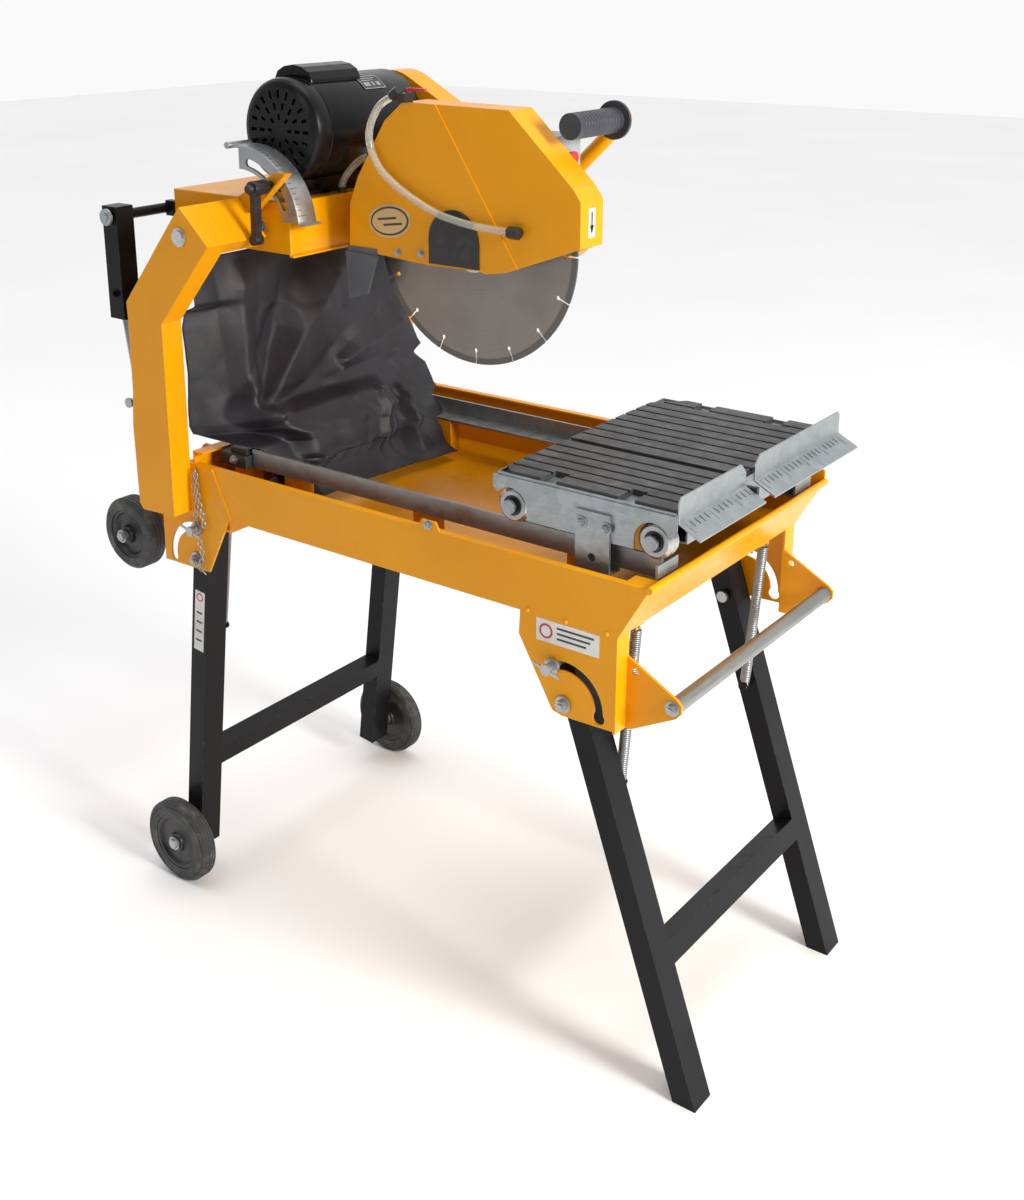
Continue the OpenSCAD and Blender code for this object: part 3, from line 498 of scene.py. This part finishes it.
# each fold: its height in mm, the two ends of its line and its width
FOLDS = [(24, STAR, (0.66, 0.16), 0.19), (15, STAR, (0.20, 0.06), 0.10),
         (11, (0.60, 0.50), (0.95, 0.40), 0.09), (18, (0.82, 0.66), (0.86, 1.0), 0.08),
         (10, (0.66, 0.64), (0.60, 0.98), 0.07), (-16, STAR, (0.36, 0.30), 0.08)]
CLOTH_THICK = 0.0012
RAIL_Z = (764, 802)         # heights between which the cloth passes the rails
RAIL_X = -254.0             # the cloth stays in front of this line there
PAN_Z = 712.0               # the cloth lies on the pan here


def ease(t):
    t = max(0.0, min(1.0, t))
    return t * t * (3 - 2 * t)


def table(points, t):
    """Straight-line value between listed (t, value) points."""
    for (t0, a), (t1, b) in zip(points, points[1:]):
        if t <= t1:
            return a + (b - a) * max(0.0, (t - t0) / (t1 - t0))
    return points[-1][1]


def crease(u, v, a, b, wide):
    """1 on the line from a to b, falling off to each side in straight slopes."""
    d = (b[0] - a[0], b[1] - a[1])
    k = max(0.0, min(1.0, ((u - a[0]) * d[0] + (v - a[1]) * d[1]) / (d[0] ** 2 + d[1] ** 2)))
    gap = math.hypot(u - a[0] - k * d[0], (v - a[1] - k * d[1]) * 0.9)
    return max(0.0, 1 - gap / (wide * (0.35 + 0.65 * k)))


def curtain():
    """Coated cloth from the cross beam into the pan, gathered between the rails."""
    nu, nv = 130, 150
    line = smooth_path([(x, 0, z) for x, z in (
        (-319, 1095), (-317, 1040), (-311, 985), (-303, 930), (-289, 876), (-268, 836),
        (-243, 803), (-222, 772), (-198, 748), (-166, 731), (-136, 722))], 30)
    dist = [0.0]
    for a, b in zip(line, line[1:]):
        dist.append(dist[-1] + (b - a).length)

    def along(d):
        for i in range(len(dist) - 1):
            if dist[i + 1] >= d:
                return line[i].lerp(line[i + 1], (d - dist[i]) / (dist[i + 1] - dist[i]))
        return line[-1]

    near = [(715, -246), (752, -246), (762, -200), (767, -168), (772, -190), (778, -199),
            (798, -199), (806, -226), (816, -248), (830, -256.5), (986, -256.5), (1004, -252),
            (1100, -252)]
    far = [(715, 150), (760, 163), (767, 168), (773, 196), (797, 199), (804, 228), (842, 234),
           (860, 216), (864, 218), (872, 242), (930, 222), (1000, 206), (1100, 190)]
    verts, faces = [], []
    for j in range(nv + 1):
        v = j / nv
        for i in range(nu + 1):
            u = i / nu
            p = along(v * dist[-1] * (1 - 0.04 * (1 - u) - 0.02 * math.sin(3 * u)))
            y0, y1 = table(near, p.z), table(far, p.z)
            y = y0 + (y1 - y0) * u
            out = sum(h * crease(u, v, a, b, wide) for h, a, b, wide in FOLDS)
            out += 24 * ease((u - 0.72) / 0.2) * ease((812 - p.z) / 30)
            belly = ease((u - 0.12) / 0.1) * ease((0.76 - u) / 0.06)
            out += 30 * ease((v - 0.575) / 0.06) * belly * (1 - 0.7 * ease((v - 0.7) / 0.2))
            out += 11 * abs(noise.noise(Vector((u * 4.2, v * 3.4, 0.3))))
            out += 4 * abs(noise.noise(Vector((u * 9, v * 7, 4.3))))
            out *= ease(v / 0.14) * (0.25 + 0.75 * ease((p.z - 722) / 30))
            curl = (p.x + 343) * max(0.0, 1 - u / 0.20)
            curl *= ease((p.z - 800) / 16) * ease((1026 - p.z) / 16)
            x, z = p.x + out - curl, p.z + out * 0.25 * ease(v / 0.3)
            if p.z < RAIL_Z[0]:
                z = min(z, 762.0 if u < 0.3 else z)
                if u < 0.22:
                    x = min(x, -208.0 + 6 * u)
            if RAIL_Z[0] <= p.z <= RAIL_Z[1]:
                x, z = max(x, RAIL_X), p.z
            verts.append(Vector((x, y, max(z, PAN_Z))) * MM)
    w = nu + 1
    for j in range(nv):
        for i in range(nu):
            faces.append((j * w + i, j * w + i + 1, (j + 1) * w + i + 1, (j + 1) * w + i))
    o = mesh_object("splash_curtain", verts, faces, CLOTH)
    m = o.modifiers.new("thick", "SOLIDIFY")
    m.thickness = CLOTH_THICK
    m.offset = 0
    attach(o, "frame")
    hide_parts("curtain")


curtain()

# ---------------------------------------------------------------- hoses
HOSE_R = 0.0056
main = tube("hose_main", [q * MM for q in smooth_path([
    (-47, -96, 1338), (-72, -97, 1322), (-90, -97, 1291), (-89, -97, 1262), (-74, -97, 1236),
    (-48, -97, 1215), (-12, -97, 1196), (38, -97, 1177), (100, -97, 1167), (160, -96, 1164)])],
    HOSE_R, HOSE, 14)
feed = tube("hose_feed", [q * MM for q in smooth_path([
    (-138, -40, 1243), (-165, -40, 1232), (-189, -40, 1211), (-199, -40, 1197),
    (-200, -40, 1190)])], HOSE_R, HOSE, 14)
for o in (main, feed):
    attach(o, "head")
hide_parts("hoses")

# ---------------------------------------------------------------- springs
def leg_spring(name, top, low):
    o = coil(name, Vector(low) * MM, Vector(top) * MM, 0.0067, 0.0026, ZINC, 0.0031)
    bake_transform(o)
    return o


FRONT_PIVOT, REAR_PIVOT = (370, 573), (-343, 607)
FRONT_LEAN, REAR_LEAN = math.radians(18.97), math.radians(6.95)
HOOK = 146                  # distance of a spring's lower hook from the leg's pivot
front_low = (FRONT_PIVOT[0] + HOOK * math.sin(FRONT_LEAN), FRONT_PIVOT[1] - HOOK * math.cos(FRONT_LEAN))
rear_low = (REAR_PIVOT[0] - HOOK * math.sin(REAR_LEAN), REAR_PIVOT[1] - HOOK * math.cos(REAR_LEAN))
first = None
for side, s in (("near", -1), ("far", 1)):
    o = leg_spring("front_spring_" + side, (436, s * 183, 680), (front_low[0], s * 183, front_low[1]))
    first = first or o
    leg_spring("rear_spring_" + side, (-332, s * 196, 665), (rear_low[0], s * 196, rear_low[1]))
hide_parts("leg_springs")
lift_ends = Vector((-443, -262, 859)) * MM, Vector((-466, -262, 1002)) * MM
low_half = coil("lift_spring_lower", *lift_ends, 0.0064, 0.0026, ZINC, 0.0034, end=0.72)
up_half = coil("lift_spring_upper", *lift_ends, 0.0067, 0.0026, ZINC, 0.0034, start=0.28)
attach(low_half, "frame")
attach(up_half, "lift")
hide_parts("lift_spring")


# ---------------------------------------------------------------- markings and trim
def strip(name, pts, y, mat, body, thick):
    o = outline_y(name, pts, y - thick, y, mat)
    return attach(o, body)


# oval plate on the guard, without words
BADGE = (-64, 1157)
BADGE_TILT = math.radians(8)


def turned(pts, c, a):
    return [(c[0] + (x - c[0]) * math.cos(a) - (z - c[1]) * math.sin(a),
             c[1] + (x - c[0]) * math.sin(a) + (z - c[1]) * math.cos(a)) for x, z in pts]


for name, kx, kz, y, m, thick in (("guard_badge", 1, 1, -87.0, CREAM, 0.8),
                                  ("guard_badge_ring", 0.9, 0.86, -87.7, INK, 0.4),
                                  ("guard_badge_face", 0.82, 0.74, -88.0, CREAM, 0.4)):
    strip(name, turned(ring_y(BADGE, 41 * kx, 25 * kz, 40), BADGE, BADGE_TILT), y, m, "head", thick)
for k, (lo, hi) in enumerate(((-22, 14), (-12, 24))):
    x0, x1, z = BADGE[0] + lo, BADGE[0] + hi, BADGE[1] + 4 - 9 * k
    bar = [(x0, z - 1.6), (x1, z - 1.6), (x1, z + 1.6), (x0, z + 1.6)]
    strip("guard_badge_bar", turned(bar, BADGE, BADGE_TILT), -88.4, INK, "head", 0.4)

# turning arrow on the guard's front face
for nm, lo, hi, m in (("arrow_card", (270.9, -66, 1163), (271.6, -50, 1203), WHITE),
                      ("arrow_shaft", (271.6, -59.5, 1173), (271.9, -56.5, 1198), INK)):
    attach(block(nm, lo, hi, m), "head")
tip = [Vector(p) * MM for p in ((271.9, -63, 1180), (271.9, -53, 1180), (271.9, -58, 1167))]
tip = mesh_object("arrow_tip", tip, [(0, 1, 2)], INK, False)
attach(tip, "head")


# warning cards without words: a ring and plain bars
def card_ring(name, c, size, y):
    rim = outline_y(name + "_d", ring_y(c, 0.34 * size, 0.34 * size, 24), y - 0.7, y - 0.4, REDINK)
    face = outline_y(name + "_e", ring_y(c, 0.24 * size, 0.24 * size, 24), y - 0.9, y - 0.6, WHITE)
    return [rim, face]


def card(name, lo, hi, body, bars=3, horizontal=True):
    """Label on a near face with plain bars for its printing."""
    (x0, y, z0), x1, z1 = lo, hi[0], hi[2]
    parts = [block(name, (x0, y - 0.4, z0), (x1, y, z1), WHITE)]
    w, h = x1 - x0, z1 - z0
    if horizontal:
        parts += card_ring(name, (x0 + h * 0.5, z0 + h * 0.5), h, y)
        for i in range(bars):
            z = z1 - h * (0.24 + 0.24 * i)
            parts.append(block(name + "_b", (x0 + h * 1.05, y - 0.7, z - h * 0.045),
                               (x1 - w * (0.08 + 0.06 * i), y - 0.4, z + h * 0.045), INK))
    else:
        for i in range(bars):
            z = z0 + h * (0.16 + 0.62 * i / bars)
            parts.append(block(name + "_b", (x0 + w * 0.2, y - 0.7, z),
                               (x1 - w * 0.2, y - 0.4, z + h * 0.03), INK))
        parts += card_ring(name, ((x0 + x1) / 2, z1 - w * 0.5), w, y)
    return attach(merged(name, parts), body)


card("front_label", (324, -256.0, 656), (424, -256.0, 688), "frame")
pivot = Vector((REAR_PIVOT[0], 0, REAR_PIVOT[1])) * MM
along_leg = Matrix.Translation(pivot) @ Matrix.Rotation(REAR_LEAN, 4, "Y") @ Matrix.Translation(-pivot)
# each leg card: its side, half its width, its y, how far below the pivot it runs, and its bars
for side, half, y, low, high, bars in (("near", 11, -249.0, 172, 62, 4), ("far", 9, 205.0, 60, 22, 2)):
    label = card("leg_label_" + side, (REAR_PIVOT[0] - half, y, REAR_PIVOT[1] - low),
                 (REAR_PIVOT[0] + half, y, REAR_PIVOT[1] - high), "rear_stand", bars, False)
    label.data.transform(along_leg)


# motor name plate without words, on the casing's upper side
MOTOR = (-246, 1280)        # the motor's axis


def on_cylinder(name, c, r, a0, a1, y0, y1, mat, n=10):
    """Thin bent plate over part of a cylinder along Y."""
    v, f = [], []
    for i in range(n + 1):
        a = math.radians(a0 + (a1 - a0) * i / n)
        for rr in (r, r + 0.6):
            for y in (y0, y1):
                v.append(Vector((c[0] + rr * math.cos(a), y, c[1] + rr * math.sin(a))) * MM)
    for i in range(n):
        k = 4 * i
        f += [(k + 2, k + 3, k + 7, k + 6), (k, k + 4, k + 5, k + 1),
              (k, k + 2, k + 6, k + 4), (k + 1, k + 5, k + 7, k + 3)]
    f += [(0, 1, 3, 2), (4 * n, 4 * n + 2, 4 * n + 3, 4 * n + 1)]
    return mesh_object(name, v, f, mat, False)


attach(on_cylinder("motor_plate", MOTOR, 78.1, 44, 66, 8, 56, INK), "head")
for a0, a1, y0, y1 in ((64.5, 66, 8, 56), (44, 45, 8, 56), (45, 64.5, 8, 9.4), (45, 64.5, 54.6, 56),
                       (60, 61.5, 13, 48), (56.5, 57.7, 13, 40), (48, 54, 13, 26), (48, 54, 31, 36),
                       (48, 54, 41, 50)):
    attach(on_cylinder("motor_plate_line", MOTOR, 78.75, a0, a1, y0, y1, ZINC, 3), "head")

# printed marks on the depth gauge band
GAUGE, GAUGE_R = (-290, 1139), 121.2
for i in range(22):
    a = math.radians(12 + i * 4)
    w = 16 if i % 5 == 0 else 9
    c = Vector((GAUGE[0] + GAUGE_R * math.cos(a), 0, GAUGE[1] + GAUGE_R * math.sin(a)))
    t = Vector((-math.sin(a), 0, math.cos(a)))
    v = []
    for y in (-168, -168 + w):
        for k in (-0.5, 0.5):
            v.append((c + t * k + Vector((0, y, 0))) * MM)
    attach(mesh_object("gauge_mark", v, [(0, 1, 3, 2)], INK, False), "head")


# lanyard chains from the near rear corner to the lock pins
def chain(name, pts, body, link=0.0052, wire=0.0009):
    path = smooth_path([Vector(p) * MM for p in pts], 60)
    parts, gone, last, i = [], 0.0, path[0], 0
    for q in path[1:]:
        gone += (q - last).length
        if gone >= link * 1.5:
            d = (q - last).normalized() if (q - last).length else Vector((0, 0, -1))
            side = d.orthogonal().normalized() if i % 2 else d.cross(d.orthogonal()).normalized()
            ring = []
            for k in range(14):
                a = 2 * math.pi * k / 14
                ring.append(q + d * (link * math.cos(a)) + side * (link * 0.6 * math.sin(a)))
            ring += ring[:2]
            parts.append(tube("link", ring, wire, ZINC, 6, False))
            gone = 0.0
            i += 1
        last = q
    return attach(merged(name, parts), body)


chain("lanyard_chain", [(-331, -260, 768), (-333, -262, 740), (-331, -262, 705), (-335, -262, 672),
                        (-326, -264, 640), (-322, -264, 618), (-329, -264, 600),
                        (-318, -264, 590)], "frame")
chain("lanyard_chain_short", [(-331, -260, 768), (-327, -262, 745), (-324, -262, 712),
                              (-318, -263, 690), (-314, -263, 668)], "frame")

# zinc rims and black seals on the outer faces of the cart rollers
ROLLER_X, ROLLER_Z, ROLLER_Y = (255, 477), 819, 215
for x in ROLLER_X:
    for s in (-1, 1):
        for r, m, w in ((20.5, ZINC, 0.9), (14.5, BLACK, 1.5)):
            y0, y1 = sorted((s * ROLLER_Y, s * (ROLLER_Y + w)))
            o = disc_y("roller_face", (x, ROLLER_Z), r, y0, y1, m)
            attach(o, "rear_roll_set" if x == ROLLER_X[0] else "front_roll_set")

# black key in the fence gap
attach(block("fence_key", (520, -57, 846), (538, -50, 858), BLACK, 0.8), "cart")

# screws on the motor's fan cover
for i in range(3):
    a = math.radians(90 + 120 * i)
    c = (MOTOR[0] + 54 * math.cos(a + 0.15), MOTOR[1] + 54 * math.sin(a + 0.15))
    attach(disc_y("fan_screw", c, 3, -126.4, -125, BLACKP, 12), "head")

# ---------------------------------------------------------------- stage, light and camera
FLOOR = 14      # half the floor's side, in metres
corners = [(-FLOOR, -FLOOR, 0), (FLOOR, -FLOOR, 0), (FLOOR, FLOOR, 0), (-FLOOR, FLOOR, 0)]
floor = mesh_object("floor", corners, [(0, 1, 2, 3)], floor_mat(), False)

# the studio is bright behind and above the machine and dim in front of it
world = bpy.data.worlds.new("studio")
bpy.context.scene.world = world
world.use_nodes = True
wn = world.node_tree
bg = wn.nodes["Background"]
coord = wn.nodes.new("ShaderNodeTexCoord")
dot = wn.nodes.new("ShaderNodeVectorMath")
dot.operation = "DOT_PRODUCT"
dot.inputs[1].default_value = (-0.52, 0.72, 0.46)
wn.links.new(coord.outputs["Generated"], dot.inputs[0])
ramp = wn.nodes.new("ShaderNodeMapRange")
ramp.interpolation_type = "SMOOTHSTEP"
for k, val in enumerate((-0.2, 0.6, 0.25, 1.0)):
    ramp.inputs[k + 1].default_value = val
wn.links.new(dot.outputs["Value"], ramp.inputs[0])
wn.links.new(ramp.outputs[0], bg.inputs[0])
bg.inputs[1].default_value = 0.95


def lamp(name, place, target, size, power, colour=(1, 1, 1)):
    d = bpy.data.lights.new(name, "AREA")
    d.shape = "DISK"
    d.size = size
    d.energy = power
    d.color = colour
    o = bpy.data.objects.new(name, d)
    bpy.context.scene.collection.objects.link(o)
    o.location = place
    o.rotation_euler = (Vector(target) - Vector(place)).to_track_quat("-Z", "Y").to_euler()
    return o


lamp("key", (4.4, -0.3, 2.3), (0, 0, 0.8), 1.4, 270, (1.0, 0.97, 0.90))
lamp("side", (-1.4, -3.6, 2.2), (0, 0, 0.8), 1.0, 5, (0.93, 0.96, 1.0))
sky = bpy.data.lights.new("top", "SUN")
sky.energy = 1.1
sky.angle = math.radians(50)
bpy.context.scene.collection.objects.link(bpy.data.objects.new("top", sky))

# the camera that was solved from the photograph: its turn, its tilt, its roll and its place
turn, tilt, roll = (math.radians(v) for v in (37.2, 17.9, -0.2))
ahead = Vector((-math.sin(turn) * math.cos(tilt), math.cos(turn) * math.cos(tilt), -math.sin(tilt)))
right = Vector((math.cos(turn), math.sin(turn), 0))
up = right.cross(ahead)
x_axis = right * math.cos(roll) + up * math.sin(roll)
y_axis = up * math.cos(roll) - right * math.sin(roll)
m = Matrix((x_axis, y_axis, -ahead)).transposed().to_4x4()
m.translation = Vector((1.3585, -1.7310, 1.5144))
cam_data = bpy.data.cameras.new("camera")
cam_data.sensor_width = 36
cam_data.lens = 44.235
cam_data.shift_x = 0.0225
cam_data.shift_y = -0.1315
cam = bpy.data.objects.new("camera", cam_data)
bpy.context.scene.collection.objects.link(cam)
cam.matrix_world = m
bpy.context.scene.camera = cam
bpy.context.scene.view_settings.view_transform = "Standard"
